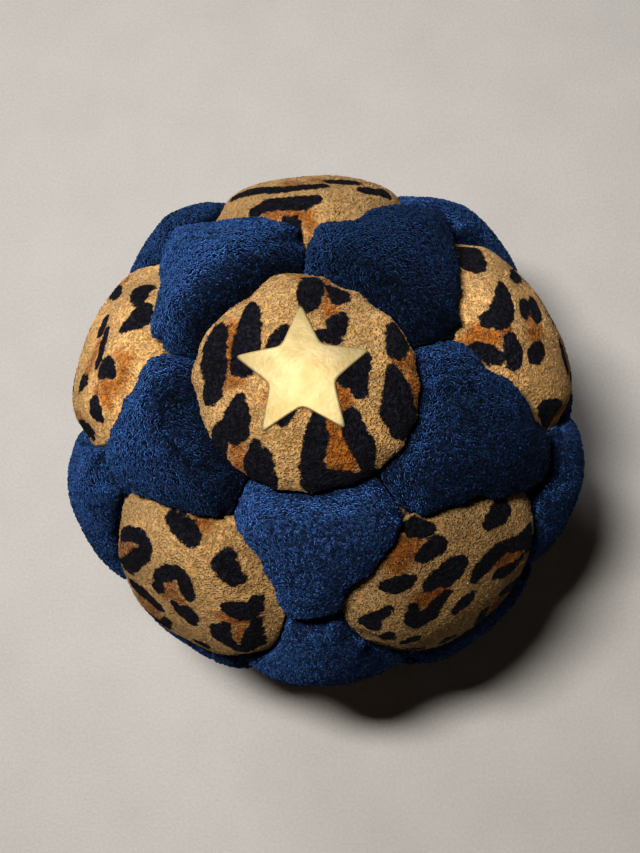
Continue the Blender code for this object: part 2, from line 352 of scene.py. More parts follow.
def puffed_skin(panel, height, width, power, dome, overhang, ragged):
    """A panel as one closed skin: its points and faces, how much nap each point carries, and its direction."""
    centre = MIDDLES[panel]
    loop = outline_of(panel, SEAM_ROUNDING)
    puff = outline_of(panel, PUFF_ROUNDING)
    rings = panel_rings(loop, centre, height, width, power)
    directions = np.concatenate([centre[None], *(ring for ring, _ in rings)])
    edges = np.concatenate([loop[:1], *(edge for _, edge in rings)])
    puff_edges = np.concatenate([puff[:1], *(along(puff, np.arange(len(edge)) / len(edge)) for _, edge in rings)])
    inside = (directions * centre).sum(-1) > (puff_edges * centre).sum(-1)
    distance = np.where(inside, distance_to(puff, directions), 0)
    from_seam = distance_to(loop, directions)

    # The outer face rises from its seams like a pillow, and each stitch pulls it in.
    pull = np.zeros(len(directions))
    for first, second, place, strength in STITCHES:
        if panel in (first, second):
            far = angle(directions @ place) * SEAM_RADIUS / STITCH_REACH
            pull = np.maximum(pull, strength * np.exp(-far**2 / 2))
    share = angle(directions @ centre) / angle(edges @ centre)
    rolled = roll(distance, width, power)
    uneven = SWELL * lumps(directions, SWELL_SIZE, 1) + DIMPLE * lumps(directions, DIMPLE_SIZE, 2)
    lip = under_top_lip(panel, directions)
    rise = height * rolled + dome * (1 - share**2) + rolled * (uneven - STITCH_PULL * pull - TOP_LIP_DEPTH * lip)

    # Beside its long seams it leans out over its neighbours, or in from them, in scallops between the stitches.
    outwards = unit(directions * (directions @ centre)[:, None] - centre + 1e-9)
    leaning = np.maximum(np.minimum(distance, from_seam) - SEAM_GAP / 2, 0) / LEAN_REACH
    lean = leaning * np.exp(1 - leaning)
    scallop = (1 + SCALLOP * ragged * lumps(directions, SCALLOP_SIZE, 3)) * (1 - ragged * np.clip(pull, 0, 1))
    sideways = overhang * (1 - 1.15 * lip) * long_seam_share(panel, directions) * scallop
    points = directions * (SEAM_RADIUS + rise)[:, None] + outwards * (sideways * lean - SEAM_GAP / 2)[:, None]
    points[0] = centre * (SEAM_RADIUS + rise[0])

    # The edge turns straight in along its seams, comes back up a sheet's thickness further in, and closes beneath.
    rim = 6 * len(rings)
    outer = points[-rim:]
    inner = outer - outwards[-rim:] * SHEET
    rows = [outer * (1 - depth / SEAM_RADIUS) for depth in np.linspace(0, FOLD_DEPTH, 5)[1:]]
    rows += [inner * (1 - depth / SEAM_RADIUS) for depth in (FOLD_DEPTH, FOLD_DEPTH / 2, 0.1)]
    under = unit(rows[-1])
    for share in (0.85, 0.6, 0.3):
        lift = height * roll((1 - share) * HALF_PANEL, width, power) + dome * (1 - share**2)
        rows.append(between(centre, under, share) * (SEAM_RADIUS + lift - SHEET))
    skin = np.concatenate([points, *rows, centre[None] * (SEAM_RADIUS + height + dome - SHEET)])
    faces = [ring_faces(len(rings))]
    start = len(directions) - rim
    this = np.arange(rim)
    after = (this + 1) % rim
    for _ in rows:
        faces.append(np.stack([start + this, start + rim + this, start + rim + after], -1))
        faces.append(np.stack([start + this, start + rim + after, start + after], -1))
        start += rim
    faces.append(np.stack([start + this, np.full(rim, len(skin) - 1), start + after], -1))
    nap = np.zeros(len(skin))
    nap[: len(directions)] = np.clip(from_seam / BARE_EDGE, 0, 1)
    everywhere = np.concatenate([directions, *([directions[-rim:]] * len(rows)), centre[None]])
    return settle(skin), np.concatenate(faces), nap, everywhere


TOP_FORM = {"height": 2.5, "width": 3.6, "power": 2.6, "dome": 0.3, "overhang": 0.8, "ragged": 0.4}
LEOPARD_FORM = {"height": 2.3, "width": 6.0, "power": 2.2, "dome": 0.5, "overhang": -0.5, "ragged": 0.4}
NAVY_FORM = {"height": 2.8, "width": 6.0, "power": 2.2, "dome": 0.6, "overhang": 1.4, "ragged": 0.6}
FULLER = {"navy_upper_1": 0.6, "navy_upper_3": -0.5, "navy_upper_5": 0.8}
LAP_REACH = 3.0
LAP_GAP = 0.1


def lap_rank(panel):
    """Sorts the panels as they lap: top leopard, poleward navies, other navies, and the other leopards beneath."""
    return panel != "leopard_top", not panel.startswith(("navy_top", "navy_bottom")), panel.startswith("leopard")


def press_under(points, over, seam):
    """Presses a skin down to just beneath the neighbour that laps over it along that seam."""
    far = np.linalg.norm(points, axis=1)
    beside = (points @ seam[::4].T).max(1) / far > math.cos(LAP_REACH / SEAM_RADIUS)
    for k in np.flatnonzero(beside & (far > SEAM_RADIUS - LAP_GAP)):
        way = Vector(points[k] / far[k])
        hit = over.ray_cast(Vector(), way)[0]
        if hit and SEAM_RADIUS - LAP_GAP < hit.length < far[k] + LAP_GAP:
            points[k] = way * (hit.length - LAP_GAP)


def lap_skins():
    """Every panel's skin, each pressed clear of the ones that lap over it."""
    skins = {}
    for panel in sorted(MIDDLES, key=lap_rank):
        form = TOP_FORM if panel == "leopard_top" else NAVY_FORM if panel.startswith("navy") else LEOPARD_FORM
        skins[panel] = puffed_skin(panel, **form | {"height": form["height"] + FULLER.get(panel, 0.0)})
    order = list(skins)
    for panel, (points, faces, *_) in skins.items():
        over = BVHTree.FromPolygons(points.tolist(), faces.tolist())
        for first, second, seam, _ in SEAMS:
            other = second if first == panel else first
            if panel in (first, second) and order.index(other) > order.index(panel):
                press_under(skins[other][0], over, seam)
    return skins


def put_in_scene(name, data):
    """Stands a mesh, a lamp or a camera in the scene."""
    made = bpy.data.objects.new(name, data)
    bpy.context.scene.collection.objects.link(made)
    return made


def make_mesh(name, points, faces, attributes):
    """A smooth-shaded object at the origin, with its points, in millimetres round the ball's middle, in place."""
    data = bpy.data.meshes.new(name)
    data.vertices.add(len(points))
    data.vertices.foreach_set("co", (points * MM + BALL_MIDDLE).astype(np.float32).ravel())
    data.loops.add(3 * len(faces))
    data.loops.foreach_set("vertex_index", faces.astype(np.int32).ravel())
    data.polygons.add(len(faces))
    data.polygons.foreach_set("loop_start", np.arange(0, 3 * len(faces), 3, dtype=np.int32))
    data.update(calc_edges=True)
    data.shade_smooth()
    for key, values in attributes.items():
        data.attributes.new(key, "FLOAT", "POINT").data.foreach_set("value", values.astype(np.float32))
    return put_in_scene(name, data)


SKINS = lap_skins()


def to_linear(code):
    """An sRGB hex colour as linear values."""
    channels = [int(code[k : k + 2], 16) / 255 for k in (1, 3, 5)]
    return (*(c / 12.92 if c <= 0.04045 else ((c + 0.055) / 1.055) ** 2.4 for c in channels), 1.0)


def feed(node, inputs):
    """Gives a node its inputs, as values or as links from other nodes or their sockets."""
    for key, value in inputs.items():
        if isinstance(value, bpy.types.Node):
            value = next(socket for socket in value.outputs if socket.enabled)
        if isinstance(value, bpy.types.NodeSocket):
            node.id_data.links.new(value, node.inputs[key])
        else:
            node.inputs[key].default_value = value


def add(tree, kind, inputs=(), **settings):
    """Adds a node with its settings and inputs."""
    made = tree.nodes.new(kind)
    for key, value in settings.items():
        setattr(made, key, value)
    feed(made, dict(inputs))
    return made


def open_nodes(name, inputs):
    """Starts a Geometry Nodes tree that takes those named inputs beside its geometry and its material."""
    tree = bpy.data.node_groups.new(name, "GeometryNodeTree")
    for key, kind in (("Geometry", "Geometry"), *inputs, ("Material", "Material")):
        tree.interface.new_socket(key, in_out="INPUT", socket_type=f"NodeSocket{kind}")
    tree.interface.new_socket("Geometry", in_out="OUTPUT", socket_type="NodeSocketGeometry")
    return tree, add(tree, "NodeGroupInput").outputs


def close_nodes(tree, shape, material):
    """Ends a tree: its instances become real geometry and get their material."""
    real = add(tree, "GeometryNodeRealizeInstances", {"Geometry": shape})
    dressed = add(tree, "GeometryNodeSetMaterial", {"Geometry": real, "Material": material})
    add(tree, "NodeGroupOutput", {0: dressed})
    return tree


def run_nodes(made, tree, values):
    """Runs a tree over an object and leaves the result as its plain mesh."""
    modifier = made.modifiers.new(tree.name, "NODES")
    modifier.node_group = tree
    for item in tree.interface.items_tree:
        if item.name in values:
            modifier[item.identifier] = values[item.name]
    grown = made.evaluated_get(bpy.context.evaluated_depsgraph_get())
    plain = bpy.data.meshes.new_from_object(grown)
    made.modifiers.clear()
    made.data = plain
    return made


def grow_nap():
    """Lays short curled strands on a suede face, each with its own lightness in "strand"."""
    sizes = ("Strand Length", "Strand Width", "Curl", "Lift", "Strands per Square Metre")
    tree, given = open_nodes("grow_nap", [*((size, "Float") for size in sizes), ("Seed", "Int")])
    nap = add(tree, "GeometryNodeInputNamedAttribute", {"Name": "nap"}, data_type="FLOAT")
    crowd = add(tree, "ShaderNodeMath", {0: given["Strands per Square Metre"], 1: nap}, operation="MULTIPLY")
    scatter = add(tree, "GeometryNodeDistributePointsOnFaces",
                  {"Mesh": given["Geometry"], "Density": crowd, "Seed": given["Seed"]}).outputs

    # One strand: a strip bent sideways into an arc, arched up between its ends, and rounded across.
    strip = add(tree, "GeometryNodeMeshGrid", {"Size X": 1.0, "Size Y": 1.0, "Vertices X": 3, "Vertices Y": 4})
    place = add(tree, "ShaderNodeSeparateXYZ", {0: add(tree, "GeometryNodeInputPosition")}).outputs
    length, width, curl = given["Strand Length"], given["Strand Width"], given["Curl"]
    aside = add(tree, "ShaderNodeMath", {0: place["X"], 1: width}, operation="MULTIPLY")
    bend = add(tree, "ShaderNodeMath", {0: place["Y"], 1: curl}, operation="MULTIPLY")
    cosine = add(tree, "ShaderNodeMath", {0: bend}, operation="COSINE")
    sine = add(tree, "ShaderNodeMath", {0: bend}, operation="SINE")
    radius = add(tree, "ShaderNodeMath", {0: length, 1: curl}, operation="DIVIDE")
    reach = add(tree, "ShaderNodeMath", {0: radius, 1: aside}, operation="ADD")
    x = add(tree, "ShaderNodeMath", {0: cosine, 1: reach}, operation="MULTIPLY")
    y = add(tree, "ShaderNodeMath", {0: sine, 1: reach}, operation="MULTIPLY")
    centred = add(tree, "ShaderNodeMath", {0: x, 1: radius}, operation="SUBTRACT")
    lengthwise = add(tree, "ShaderNodeMath", {0: place["Y"], 1: place["Y"]}, operation="MULTIPLY")
    arch = add(tree, "ShaderNodeMath", {0: lengthwise, 1: -4.0, 2: 0.8}, operation="MULTIPLY_ADD")
    lift = add(tree, "ShaderNodeMath", {0: given["Lift"], 1: length}, operation="MULTIPLY")
    crosswise = add(tree, "ShaderNodeMath", {0: place["X"], 1: place["X"]}, operation="MULTIPLY")
    round_off = add(tree, "ShaderNodeMath", {0: crosswise, 1: width}, operation="MULTIPLY")
    lower = add(tree, "ShaderNodeMath", {0: round_off, 1: -1.6}, operation="MULTIPLY")
    z = add(tree, "ShaderNodeMath", {0: arch, 1: lift, 2: lower}, operation="MULTIPLY_ADD")
    curved = add(tree, "ShaderNodeCombineXYZ", {"X": centred, "Y": y, "Z": z})
    bent = add(tree, "GeometryNodeSetPosition", {"Geometry": strip, "Position": curved})
    strand = add(tree, "GeometryNodeSetShadeSmooth", {"Geometry": bent})

    # Each strand lies on the face, turned any way, a little tilted, and of its own size and lightness.
    tilt = add(tree, "FunctionNodeRandomValue", {"Min": (-0.4, -0.4, 0.0), "Max": (0.4, 0.4, math.tau)},
               data_type="FLOAT_VECTOR")
    turn = add(tree, "FunctionNodeEulerToRotation", {0: tilt})
    facing = add(tree, "FunctionNodeRotateRotation", {"Rotation": scatter["Rotation"], "Rotate By": turn},
                 rotation_space="LOCAL")
    size = add(tree, "FunctionNodeRandomValue", {2: 0.6, 3: 1.25, "Seed": 3}, data_type="FLOAT")
    laid = add(tree, "GeometryNodeInstanceOnPoints",
               {"Points": scatter["Points"], "Instance": strand, "Rotation": facing, "Scale": size})
    light = add(tree, "FunctionNodeRandomValue", {2: 0.25, 3: 1.0, "Seed": 7}, data_type="FLOAT")
    shaded = add(tree, "GeometryNodeStoreNamedAttribute", {"Geometry": laid, "Name": "strand", "Value": light},
                 data_type="FLOAT", domain="INSTANCE")
    both = add(tree, "GeometryNodeJoinGeometry", {0: shaded})
    feed(both, {0: given["Geometry"]})
    return close_nodes(tree, both, given["Material"])


NAP = grow_nap()


def sew_in(made, node):
    """Puts a panel in its CAD solid's place, hiding the solid, and makes it stay with the ball."""
    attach(made, "root")
    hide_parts(node)


# The marks of the print, as strokes of (across, up, half width) in millimetres round the panel's middle. Across and
# up are as seen from outside, with the panel's upper edge towards the front panel.

PRINT_RADIUS = 27.3
BLACK_MARKS = {
    "top": (
        ((-8.6, 7.2, 0.7), (-7.2, 7.8, 1.0)),
        ((-7.6, 4.6, 0.7), (-8.3, 2.8, 1.1), (-8.4, 1.2, 1.15), (-8.2, 0.2, 0.8), (-8.8, -1.2, 0.95)),
        ((-4.45, 6.3, 0.55), (-4.7, 4.8, 0.95), (-5.1, 3.0, 1.2), (-5.5, 1.3, 1.2)),
        ((0.9, 8.4, 1.0), (0.8, 7.2, 1.05), (0.8, 6.4, 0.6)), ((2.8, 8.0, 0.5), (3.4, 7.4, 0.85)),
        ((3.7, 5.1, 0.4), (3.3, 4.4, 0.85), (3.1, 3.2, 0.6)), ((-1.5, 4.1, 0.35), (-2.3, 3.2, 0.5), (-2.9, 2.4, 0.4)),
        ((2.2, 3.5, 0.5), (1.0, 3.2, 0.5)), ((5.9, 1.3, 0.3), (5.3, 0.4, 0.75), (4.0, -0.5, 0.8)),
        ((5.2, 0.2, 0.7), (5.2, -1.9, 0.6)), ((8.3, 4.2, 0.6), (8.5, 2.6, 0.9), (8.4, 1.9, 0.6)),
        ((7.9, 0.2, 0.4), (8.3, -1.5, 0.9), (8.4, -3.6, 1.4), (8.6, -4.8, 0.9)),
        ((-1.2, -3.4, 0.5), (-1.8, -4.3, 0.5)), ((-6.0, -2.1, 0.45), (-6.3, -3.6, 1.15), (-6.2, -4.8, 1.1)),
        ((-6.6, -4.2, 0.9), (-7.9, -4.9, 0.9), (-8.4, -6.4, 0.9)),
        ((-4.5, -6.3, 0.4), (-4.2, -7.6, 1.2), (-4.0, -9.0, 1.4), (-4.0, -10.2, 1.3)),
        ((1.4, -4.2, 0.5), (1.2, -5.8, 0.95), (0.7, -7.5, 0.95), (0.7, -9.3, 1.0), (2.6, -9.6, 0.9),
         (4.5, -9.9, 0.8), (7.0, -9.4, 0.6)),
        ((4.4, -4.2, 0.75), (4.6, -5.4, 1.0), (5.4, -7.0, 1.05), (5.6, -8.1, 0.75)),
    ),
    "upper_1": (
        ((0.9, 12.2, 0.4), (1.5, 11.4, 0.8), (2.4, 11.0, 0.5)),
        ((-1.0, 8.5, 0.6), (0.2, 8.9, 0.95), (1.6, 8.8, 0.9), (3.0, 8.4, 0.8), (4.3, 8.0, 0.75), (5.4, 8.1, 0.7),
         (6.2, 7.8, 0.4)),
        ((-1.7, 5.4, 0.4), (-0.6, 5.9, 0.55), (1.2, 6.1, 0.55), (3.0, 5.8, 0.55), (4.5, 5.0, 0.6), (6.0, 3.9, 0.7),
         (7.2, 3.0, 0.6), (8.4, 2.3, 0.5)), ((-4.8, 2.6, 0.5), (-3.4, 3.3, 0.7), (-2.2, 3.7, 0.6)),
        ((-5.6, 4.4, 0.4), (-6.5, 3.7, 0.6), (-7.3, 3.2, 0.6), (-8.4, 2.0, 0.8)),
    ),
    "upper_2": (
        ((-1.4, 11.6, 0.4), (-2.4, 10.6, 0.6), (-3.3, 9.7, 0.5)),
        ((-4.1, 8.2, 0.7), (-3.0, 8.0, 1.0), (-1.7, 8.1, 0.75)),
        ((0.9, 9.7, 0.75), (0.8, 8.7, 1.15), (1.4, 7.6, 1.25), (2.5, 6.7, 1.05), (3.7, 5.7, 0.75), (4.7, 4.9, 0.4)),
        ((-3.5, 5.4, 0.75), (-3.2, 4.5, 1.0), (-2.7, 3.4, 0.7)),
        ((0.9, 4.6, 0.4), (1.6, 3.9, 0.6), (2.2, 3.0, 0.6), (2.6, 2.2, 0.4)),
        ((0.6, 2.5, 0.5), (1.4, 1.5, 0.9), (2.3, 0.4, 0.9), (3.1, -0.5, 0.5)),
        ((7.6, 6.5, 0.6), (8.2, 6.1, 1.1), (9.2, 5.0, 1.2), (10.3, 4.0, 1.0), (11.3, 3.0, 0.9)),
        ((5.7, 1.2, 0.4), (6.3, -0.2, 0.7), (7.0, -1.8, 0.6)),
        ((-8.7, 2.5, 0.5), (-9.0, 0.8, 1.0), (-9.4, -0.6, 1.2)),
    ),
    "upper_3": (
        ((-0.8, 11.8, 0.4), (0.2, 11.4, 0.7), (1.3, 10.9, 0.35)),
        ((-1.3, 9.3, 0.45), (-0.6, 9.3, 0.75), (0.6, 9.3, 0.8), (1.1, 9.2, 0.5)),
        ((-6.2, 8.4, 0.5), (-5.2, 8.1, 0.85), (-3.9, 7.9, 0.65), (-3.3, 7.9, 0.3)),
        ((1.4, 6.1, 0.8), (0.5, 6.4, 1.0), (-1.0, 6.5, 0.85), (-2.2, 6.2, 0.6)), ((0.6, 5.7, 0.8), (-0.6, 5.3, 0.6)),
        ((-4.6, 5.0, 0.4), (-5.3, 3.6, 0.7), (-5.0, 2.8, 0.95), (-3.8, 2.8, 0.95), (-2.6, 3.5, 0.65),
         (-1.3, 4.0, 0.4)),
        ((1.8, 3.2, 0.5), (2.8, 3.6, 0.95), (4.0, 3.6, 0.9), (5.2, 3.4, 0.8), (6.5, 2.6, 0.6), (7.5, 1.5, 0.7),
         (8.7, 0.6, 1.0), (9.7, 0.3, 0.6)), ((4.0, 1.0, 0.5), (5.0, 0.0, 0.7), (6.0, -0.5, 0.5), (7.0, -0.6, 0.4)),
        ((8.8, -0.4, 0.9), (9.2, -1.6, 0.7)),
        ((-1.5, 0.8, 0.4), (-0.7, 1.1, 0.75), (0.2, 1.3, 0.7), (0.8, 1.5, 0.35)),
        ((6.2, 6.5, 0.4), (7.2, 6.2, 0.7), (8.5, 5.5, 0.9), (9.5, 4.8, 0.6)),
        ((-9.6, 4.2, 1.0), (-8.6, 5.3, 0.6), (-7.5, 5.6, 0.5), (-6.8, 5.9, 0.3)),
        ((-9.6, 1.2, 0.4), (-8.7, 1.7, 0.7), (-8.2, 2.2, 0.4)), ((-7.4, -0.3, 0.4), (-6.4, -0.2, 0.5)),
    ),
    "upper_4": (
        ((-4.6, 10.7, 0.5), (-3.4, 10.9, 0.8), (-2.0, 11.1, 0.95), (-1.0, 11.1, 0.75)),
        ((3.0, 11.2, 0.75), (2.7, 10.5, 0.75), (3.6, 10.1, 0.95), (4.6, 9.5, 0.75), (5.2, 9.4, 0.45)),
        ((5.3, 5.8, 0.7), (6.3, 5.7, 1.3), (7.5, 6.0, 1.1), (7.7, 7.3, 0.6)),
        ((5.6, 2.8, 0.5), (5.3, 1.5, 0.95), (5.7, 0.3, 0.95), (6.4, -0.5, 0.6), (7.4, -1.5, 0.7), (8.3, -2.2, 0.8)),
        ((8.6, 4.3, 0.5), (8.8, 2.5, 0.9), (9.0, 0.8, 1.1), (9.1, -0.8, 1.2), (8.5, -2.0, 0.9)),
        ((-2.1, 2.9, 0.5), (-2.4, 3.6, 0.5), (-2.2, 4.8, 0.7), (-1.5, 6.2, 0.7), (-0.5, 6.9, 0.75),
         (0.3, 6.5, 0.75), (1.0, 5.2, 0.7), (1.3, 4.5, 0.4)), ((-2.1, 2.9, 0.6), (-2.4, 2.0, 0.45)),
        ((0.2, 1.9, 0.5), (1.0, 1.4, 0.85), (2.0, 1.2, 0.85), (2.3, 0.6, 0.5)), ((1.6, 2.6, 0.5), (2.1, 1.8, 0.75)),
        ((-9.3, 2.6, 0.5), (-8.5, 4.0, 0.7), (-7.3, 5.7, 0.7), (-6.0, 6.5, 0.8), (-4.9, 6.5, 0.7)),
        ((-4.7, 6.0, 0.6), (-4.9, 5.0, 0.8), (-5.6, 3.5, 0.8), (-6.0, 2.0, 0.85), (-6.6, 0.6, 0.85),
         (-7.5, -0.7, 0.6)),
    ),
    "upper_5": (
        ((-4.7, 9.0, 0.5), (-3.6, 9.2, 0.9), (-2.8, 9.7, 1.0), (-2.0, 8.8, 0.8), (-1.4, 8.4, 0.45)),
        ((-4.9, 8.0, 0.45), (-5.5, 7.2, 0.8), (-6.4, 6.6, 1.1), (-7.2, 6.7, 0.7)),
        ((3.4, 8.2, 0.6), (2.9, 7.5, 1.0), (3.3, 6.9, 0.75)),
        ((6.4, 5.8, 0.5), (7.2, 5.5, 0.95), (8.0, 5.5, 0.6), (7.7, 4.8, 0.5)),
        ((-1.1, 5.3, 0.4), (0.4, 5.5, 0.5), (1.6, 5.6, 0.5), (2.6, 5.5, 0.4)), ((-2.3, 3.6, 0.6), (-1.2, 3.8, 0.7)),
        ((4.3, 3.4, 0.5), (4.4, 2.3, 0.7), (4.9, 1.6, 0.4)),
        ((-5.6, 2.6, 0.5), (-6.1, 1.2, 0.8), (-6.4, -0.3, 0.7), (-6.7, -1.3, 0.4)),
        ((9.3, 1.8, 0.6), (9.4, 0.2, 0.9), (9.3, -1.5, 0.9), (9.5, -3.0, 0.8)),
    ),
}
BROWN_MARKS = {
    "top": (
        ((-6.4, 4.8, 0.6), (-6.7, 2.5, 0.55), (-6.7, 0.6, 0.55)), ((-7.0, -0.3, 0.5), (-6.0, -0.3, 0.4)),
        ((-0.8, 1.4, 0.9), (-0.5, 1.7, 0.9)), ((2.2, 6.2, 0.5), (2.8, 5.8, 0.7)),
        ((2.1, 9.0, 0.3), (2.1, 7.8, 0.35), (2.3, 6.9, 0.5)), ((-0.5, 9.4, 0.35), (0.6, 9.5, 0.3)),
        ((-6.3, 8.6, 0.5), (-5.6, 8.2, 0.5)),
        ((8.6, 0.9, 0.6), (10.2, 1.2, 1.0), (10.2, -0.6, 1.2), (10.0, -2.8, 0.6)),
        ((3.6, -2.2, 0.9), (2.9, -4.5, 1.4), (3.1, -6.5, 1.7), (3.4, -8.0, 1.3)),
        ((-6.3, -6.2, 0.8), (-6.4, -8.6, 0.9)), ((-2.8, -2.2, 0.6), (-2.3, -2.6, 0.5)),
    ),
    "upper_1": (
        ((-0.5, 11.3, 0.5), (0.1, 10.4, 0.5)),
        ((-0.2, 10.6, 0.6), (1.2, 10.3, 0.7), (2.6, 9.9, 0.7), (3.8, 9.5, 0.6), (4.6, 9.1, 0.5)),
        ((1.0, 4.8, 0.6), (2.0, 4.3, 0.8)), ((-1.0, 3.9, 0.6), (-0.8, 2.8, 0.6)),
    ),
    "upper_2": (
        ((-0.4, 11.7, 0.6), (0.3, 11.0, 0.6), (-1.3, 10.2, 0.7), (-0.9, 9.2, 0.6), (-0.5, 8.0, 0.5)),
        ((-1.3, 4.9, 0.6), (-1.2, 3.8, 0.9), (-0.4, 2.6, 0.9)), ((0.2, 4.4, 0.5), (0.7, 3.6, 0.6)),
        ((11.5, 3.8, 0.5), (11.8, 3.2, 0.5)), ((-9.3, -2.2, 0.8), (-8.9, -3.2, 0.7)),
    ),
    "upper_3": (
        ((-4.3, 9.6, 0.7), (-2.8, 10.5, 1.1), (-1.2, 10.7, 0.9)),
        ((-3.8, 4.9, 0.9), (-2.5, 5.0, 1.0), (-1.5, 5.0, 0.9)), ((-2.6, 4.2, 0.6), (-1.8, 4.5, 0.5)),
        ((5.0, 1.8, 0.9), (6.5, 0.8, 0.8), (7.8, -0.2, 0.8)),
    ),
    "upper_4": (
        ((-2.0, 12.3, 0.4), (-0.5, 12.6, 0.4)), ((4.7, 4.1, 0.5), (6.2, 4.0, 0.6), (7.6, 4.4, 0.5)),
        ((7.2, 3.5, 0.5), (7.1, 2.0, 0.5), (7.3, 0.5, 0.4)), ((-0.9, 4.8, 0.5), (-0.8, 3.3, 0.8), (0.3, 3.1, 0.9)),
        ((-1.2, 2.9, 0.5), (-1.2, 2.2, 0.4)),
        ((-6.6, 4.6, 0.5), (-7.2, 3.2, 0.8), (-8.2, 1.8, 1.0), (-8.8, 0.6, 0.9)),
    ),
    "upper_5": (
        ((1.7, 9.9, 0.45), (1.5, 8.9, 0.4)), ((2.6, 9.8, 0.4), (3.9, 9.3, 0.4), (5.2, 8.9, 0.4)),
        ((4.6, 8.4, 0.5), (4.9, 7.4, 0.9), (5.9, 7.5, 0.8), (6.7, 7.4, 0.6)), ((5.2, 6.5, 0.5), (5.4, 6.2, 0.4)),
        ((0.3, 4.4, 0.6), (2.2, 4.0, 0.7), (3.2, 3.2, 0.6)), ((-7.9, 1.2, 0.6), (-7.8, 0.0, 0.5)),
        ((8.1, 0.8, 0.5), (7.8, -0.8, 0.6), (7.8, -2.6, 0.6)),
    ),
}
MARK_SPREAD = 0.2
NO_MARK = 9.0


def mark_distance(places, strokes):
    """Millimetres from each place to the nearest stroke's edge, negative inside it."""
    nearest = np.full(len(places), NO_MARK)
    for stroke in strokes:
        for start, end in zip(stroke, stroke[1:]):
            start, end = np.array(start), np.array(end)
            way = end[:2] - start[:2]
            share = np.clip((places - start[:2]) @ way / (way @ way), 0, 1)
            gap = np.linalg.norm(places - start[:2] - share[:, None] * way, axis=1)
            nearest = np.minimum(nearest, gap - start[2] - share * (end[2] - start[2]))
    return nearest - MARK_SPREAD


ROSETTES = (2.5, 2.1)
SPOTS = (1.0, 0.8)
TRIES = 220
PRINT_REACH = 12.5
MARK_GAP = 0.75
SHOWN_ABOVE = -3.5


def scatter_rosettes(seed, black, brown, highest):
    """Adds the print's usual rosettes, a brown heart in a broken black ring, wherever no mark stands yet."""
    drawn = np.random.RandomState(seed)
    black, brown = list(black), list(brown)
    for size in ROSETTES + SPOTS:
        for _ in range(TRIES):
            middle = drawn.uniform(-12, 12, 2)
            reach = size * drawn.uniform(0.9, 1.15)
            if np.hypot(*middle) > PRINT_REACH or middle[1] > highest:
                continue
            if mark_distance(middle[None], black + brown)[0] < reach + MARK_GAP:
                continue
            if size in SPOTS:
                tip = middle + drawn.uniform(-1.1, 1.1, 2)
                black.append(((*middle, reach * 0.8), (*tip, reach * 0.55)))
                continue
            brown.append(((*middle, reach * 0.62), (*(middle + drawn.uniform(-0.7, 0.7, 2)), reach * 0.5)))
            start = drawn.uniform(0, math.tau)
            for _ in range(drawn.randint(2, 4)):
                sweep = drawn.uniform(0.7, 1.7)
                turns = start + np.linspace(0, sweep, 3)
                widths = drawn.uniform(0.45, 0.85, 3)
                black.append(tuple((middle[0] + reach * math.cos(turn), middle[1] + reach * math.sin(turn) * 0.9, width)
                                   for turn, width in zip(turns, widths)))
                start += sweep + drawn.uniform(0.5, 1.0)
    return black, brown


def lay_print(name, everywhere):
    """The distance to the black and to the brown marks, over the whole skin."""
    centre = LEOPARDS[name]
    up = np.array([0.0, 1.0, 0.0]) if abs(centre[2]) > 0.99 else np.array([0.0, 0.0, 1.0])
    up = unit(up - up @ centre * centre)
    across = np.cross(up, centre)
    flat = np.stack([everywhere @ across, everywhere @ up], -1)
    polar = angle(everywhere @ centre)[:, None]
    places = flat / np.maximum(np.linalg.norm(flat, axis=1, keepdims=True), 1e-9) * polar * PRINT_RADIUS
    black, brown = BLACK_MARKS.get(name, ()), BROWN_MARKS.get(name, ())
    if name != "top":
        highest = SHOWN_ABOVE if black else PRINT_REACH
        black, brown = scatter_rosettes(len(name) * 31 + ord(name[-1]), black, brown, highest)
    return mark_distance(places, black), mark_distance(places, brown)


# Each panel's suede is scaled by its own shade, so that some look darker than others: partly the nap lying another way
# on every panel, partly painted light and shade. Each navy panel also has painted shade on its side towards +X and -Y,
# away from the lamps, and painted shade where it dips under the top lip.
NAP_AND_PAINTED_SHADES = {
    "leopard_upper_2": 1.4, "leopard_upper_3": 0.56, "leopard_upper_4": 0.92, "leopard_upper_5": 1.5,
    "navy_top_1": 0.4, "navy_top_2": 0.58, "navy_top_3": 1.8, "navy_top_4": 1.0, "navy_top_5": 1.4,
}
# How much painted shade each navy panel gets where it dips under the top panel's lip.
PAINTED_SHADE_UNDER_LIP = {"navy_top_4": 0.6, "navy_top_5": 0.9}
# The side that gets painted shade, away from the lamps, how strongly, and over how many millimetres.
AWAY_FROM_LAMPS = unit(np.array([0.85, -0.5, 0.0]))
PAINTED_SIDE_SHADE = 0.5
SIDE_SHADE_REACH = 7


def nap_and_painted_shade(panel, everywhere):
    """How light a panel's suede is painted, round 1: its own shade, partly nap and partly painted light and shade, with
    painted shade towards +X and -Y and under the top lip.
    """
    navy = panel.startswith("navy")
    drawn = np.random.RandomState(sum(map(ord, panel)))
    shade = NAP_AND_PAINTED_SHADES.get(panel, drawn.uniform(0.7, 1.3) if navy else 1.0)
    # Painted shade where a navy panel dips under the top panel's lip.
    pressed = PAINTED_SHADE_UNDER_LIP.get(panel, 0.0) * under_top_lip(panel, everywhere)
    # Painted shade on each navy panel's side towards +X and -Y, away from the lamps.
    towards_shaded_side = (everywhere - MIDDLES[panel]) @ AWAY_FROM_LAMPS * SEAM_RADIUS / SIDE_SHADE_REACH
    shaded = np.clip(1 - PAINTED_SIDE_SHADE * navy * towards_shaded_side + 0.15 * lumps(everywhere, 5, 8), 0.3, 1.8)
    return shade * (1 - pressed) * shaded


